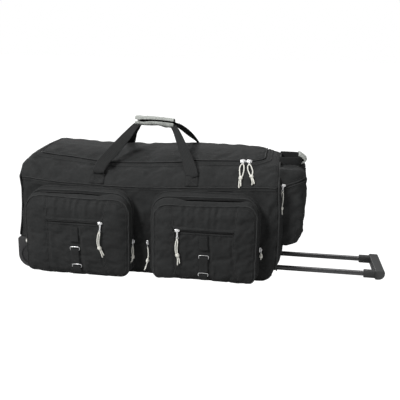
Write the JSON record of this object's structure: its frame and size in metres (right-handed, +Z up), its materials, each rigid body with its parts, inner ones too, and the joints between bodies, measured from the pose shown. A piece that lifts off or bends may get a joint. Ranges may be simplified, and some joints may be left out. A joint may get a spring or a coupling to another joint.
{
  "type": "rolling duffel bag",
  "caption": "Soft rolling duffel with a zipped top lid, front and end pockets, webbing carry handles, wheels at one end and a telescoping pull handle at the other.",
  "frame": {"origin": "on the floor under the middle of the bag body, on the bottom face of the centre runner", "axes": "+X along the body to the pull handle, -Y to the front pockets, +Z up"},
  "size_m": [1.094, 0.391, 0.4625],
  "materials": {
    "body_fabric": "woven polyester, matt",
    "webbing": "ribbed webbing",
    "wrap_fabric": "heather grey fleece",
    "zip_tape": "coil zip tape",
    "cord": "braided cord",
    "zip_metal": "plated",
    "loop_metal": "plated",
    "black_plastic": "fine grain",
    "grip_plastic": "fine grain",
    "tube_steel": "satin dark grey",
    "rail_alloy": "mill finish",
    "nylon": "moulded",
    "steel": "turned",
    "wheel_rubber": "moulded",
    "board": "corrugated sheet"
  },
  "bodies": {
    "bag": {"bottom_panel": "body_fabric", "front_panel": "body_fabric", "back_panel": "body_fabric", "wheel_end_panel": "body_fabric", "handle_end_panel": "body_fabric", "front_yoke": "body_fabric", "back_yoke": "body_fabric", "lid_zip_fixed_tape": "zip_tape", "base_board": "board", "wheel_chassis": "black_plastic", "axles": "steel", "centre_runner": "black_plastic", "side_runners": "black_plastic", "rail_tubes": "rail_alloy", "rail_bushes": "nylon", "left_pocket_gusset": "body_fabric", "right_pocket_gusset": "body_fabric", "end_pocket": "body_fabric", "end_pocket_cap": "body_fabric", "end_pocket_zip": "zip_tape", "carry_anchors": "webbing"},
    "lid": {"lid_panel": "body_fabric", "lid_zip_lid_tape": "zip_tape"},
    "trolley": {"pull_tubes": "tube_steel", "tube_plugs": "nylon", "trolley_grip": "grip_plastic", "grip_screws": "steel"},
    "wheel_front": {"front_wheel": "wheel_rubber"},
    "wheel_rear": {"rear_wheel": "wheel_rubber"},
    "left_flap": {"left_pocket_flap": "body_fabric", "left_face_zip": "zip_tape", "left_pocket_strap": "webbing", "left_strap_rings": "loop_metal"},
    "right_flap": {"right_pocket_flap": "body_fabric", "right_face_zip": "zip_tape", "right_pocket_strap": "webbing", "right_strap_rings": "loop_metal"},
    "front_handle": {"front_carry_strap": "webbing"},
    "rear_handle": {"rear_carry_strap": "webbing", "carry_wrap": "wrap_fabric"},
    "end_handle": {"end_handle_strap": "webbing", "end_handle_wrap": "wrap_fabric"},
    "main_left_slider_body": {"main_left_slider": "zip_metal"},
    "main_left_pull_body": {"main_left_pull": "cord"},
    "main_right_slider_body": {"main_right_slider": "zip_metal"},
    "main_right_pull_body": {"main_right_pull": "cord"},
    "left_face_slider_body": {"left_face_slider": "zip_metal"},
    "left_face_pull_body": {"left_face_pull": "cord"},
    "right_face_slider_body": {"right_face_slider": "zip_metal"},
    "right_face_pull_body": {"right_face_pull": "cord"},
    "left_inner_slider_body": {"left_inner_slider": "zip_metal"},
    "left_inner_pull_body": {"left_inner_pull": "cord"},
    "left_outer_slider_body": {"left_outer_slider": "zip_metal"},
    "left_outer_pull_body": {"left_outer_pull": "cord"},
    "right_inner_slider_body": {"right_inner_slider": "zip_metal"},
    "right_inner_pull_body": {"right_inner_pull": "cord"},
    "right_outer_slider_body": {"right_outer_slider": "zip_metal"},
    "right_outer_pull_body": {"right_outer_pull": "cord"},
    "end_pocket_slider_body": {"end_pocket_slider": "zip_metal"},
    "end_pocket_pull_body": {"end_pocket_pull": "cord"}
  },
  "joints": [
    {"name": "trolley_slide", "type": "slide", "parent": "bag", "child": "trolley", "axis": [-1, 0, 0], "range_m": [0, 0.253]},
    {"name": "front_wheel_spin", "type": "hinge", "parent": "bag", "child": "wheel_front", "pos_m": [-0.348, -0.138, 0.042], "axis": [0, 1, 0], "continuous": true},
    {"name": "rear_wheel_spin", "type": "hinge", "parent": "bag", "child": "wheel_rear", "pos_m": [-0.348, 0.138, 0.042], "axis": [0, 1, 0], "continuous": true},
    {"name": "lid_hinge", "type": "hinge", "parent": "bag", "child": "lid", "pos_m": [0, 0.134, 0.338], "axis": [-1, 0, 0], "range_deg": [0, 100], "deforming": ["carry_wrap"]},
    {"name": "front_handle_swing", "type": "hinge", "parent": "bag", "child": "front_handle", "pos_m": [0, -0.141, 0.308], "axis": [1, 0, 0], "range_deg": [0, 150]},
    {"name": "rear_handle_swing", "type": "hinge", "parent": "bag", "child": "rear_handle", "pos_m": [0, 0.147, 0.33], "axis": [-1, 0, 0], "range_deg": [0, 150]},
    {"name": "end_handle_swing", "type": "hinge", "parent": "bag", "child": "end_handle", "pos_m": [0.3845, 0, 0.36], "axis": [0, -1, 0], "range_deg": [0, 75]},
    {"name": "left_flap_hinge", "type": "hinge", "parent": "bag", "child": "left_flap", "pos_m": [-0.1845, -0.2155, 0.016], "axis": [1, 0, 0], "range_deg": [0, 88]},
    {"name": "right_flap_hinge", "type": "hinge", "parent": "bag", "child": "right_flap", "pos_m": [0.18, -0.2155, 0.016], "axis": [1, 0, 0], "range_deg": [0, 88]},
    {"name": "main_left_slider_travel", "type": "slide", "parent": "bag", "child": "main_left_slider_body", "axis": [-1, 0, 0], "range_m": [0, 0.57]},
    {"name": "main_left_pull_swing", "type": "hinge", "parent": "main_left_slider_body", "child": "main_left_pull_body", "pos_m": [0.272, -0.096, 0.337], "axis": [-1, 0, 0], "range_deg": [0, 115]},
    {"name": "main_right_slider_travel", "type": "slide", "parent": "bag", "child": "main_right_slider_body", "axis": [1, 0, 0], "range_m": [0, 0.03]},
    {"name": "main_right_pull_swing", "type": "hinge", "parent": "main_right_slider_body", "child": "main_right_pull_body", "pos_m": [0.297, -0.096, 0.337], "axis": [-1, 0, 0], "range_deg": [0, 115]},
    {"name": "left_face_slider_travel", "type": "slide", "parent": "left_flap", "child": "left_face_slider_body", "axis": [-1, 0, 0], "range_m": [0, 0.148]},
    {"name": "left_face_pull_swing", "type": "hinge", "parent": "left_face_slider_body", "child": "left_face_pull_body", "pos_m": [-0.113, -0.2255, 0.173], "axis": [-1, 0, 0], "range_deg": [0, 80]},
    {"name": "right_face_slider_travel", "type": "slide", "parent": "right_flap", "child": "right_face_slider_body", "axis": [1, 0, 0], "range_m": [0, 0.15]},
    {"name": "right_face_pull_swing", "type": "hinge", "parent": "right_face_slider_body", "child": "right_face_pull_body", "pos_m": [0.107, -0.2255, 0.167], "axis": [-1, 0, 0], "range_deg": [0, 80]},
    {"name": "left_inner_slider_travel", "type": "slide", "parent": "bag", "child": "left_inner_slider_body", "axis": [0, 0, 1], "range_m": [0, 0.1]},
    {"name": "left_inner_pull_swing", "type": "hinge", "parent": "left_inner_slider_body", "child": "left_inner_pull_body", "pos_m": [-0.0215, -0.181, 0.112], "axis": [-1, 0, 0], "range_deg": [0, 60]},
    {"name": "left_outer_slider_travel", "type": "slide", "parent": "bag", "child": "left_outer_slider_body", "axis": [0, 0, 1], "range_m": [0, 0.1]},
    {"name": "left_outer_pull_swing", "type": "hinge", "parent": "left_outer_slider_body", "child": "left_outer_pull_body", "pos_m": [-0.3475, -0.181, 0.112], "axis": [-1, 0, 0], "range_deg": [0, 60]},
    {"name": "right_inner_slider_travel", "type": "slide", "parent": "bag", "child": "right_inner_slider_body", "axis": [0, 0, 1], "range_m": [0, 0.1]},
    {"name": "right_inner_pull_swing", "type": "hinge", "parent": "right_inner_slider_body", "child": "right_inner_pull_body", "pos_m": [0.0135, -0.181, 0.112], "axis": [-1, 0, 0], "range_deg": [0, 60]},
    {"name": "right_outer_slider_travel", "type": "slide", "parent": "bag", "child": "right_outer_slider_body", "axis": [0, 0, 1], "range_m": [0, 0.1]},
    {"name": "right_outer_pull_swing", "type": "hinge", "parent": "right_outer_slider_body", "child": "right_outer_pull_body", "pos_m": [0.3465, -0.181, 0.112], "axis": [-1, 0, 0], "range_deg": [0, 60]},
    {"name": "end_pocket_slider_travel", "type": "slide", "parent": "bag", "child": "end_pocket_slider_body", "axis": [0.9398, 0, 0.3417], "range_m": [0, 0.05]},
    {"name": "end_pocket_pull_swing", "type": "hinge", "parent": "end_pocket_slider_body", "child": "end_pocket_pull_body", "pos_m": [0.397, -0.1395, 0.29], "axis": [-1, 0, 0], "range_deg": [0, 80]}
  ],
  "couplings": [
    {"joint": "front_handle_swing", "follows": "lid_hinge", "ratio": 1.5},
    {"joint": "rear_handle_swing", "follows": "lid_hinge", "ratio": 1.5}
  ]
}
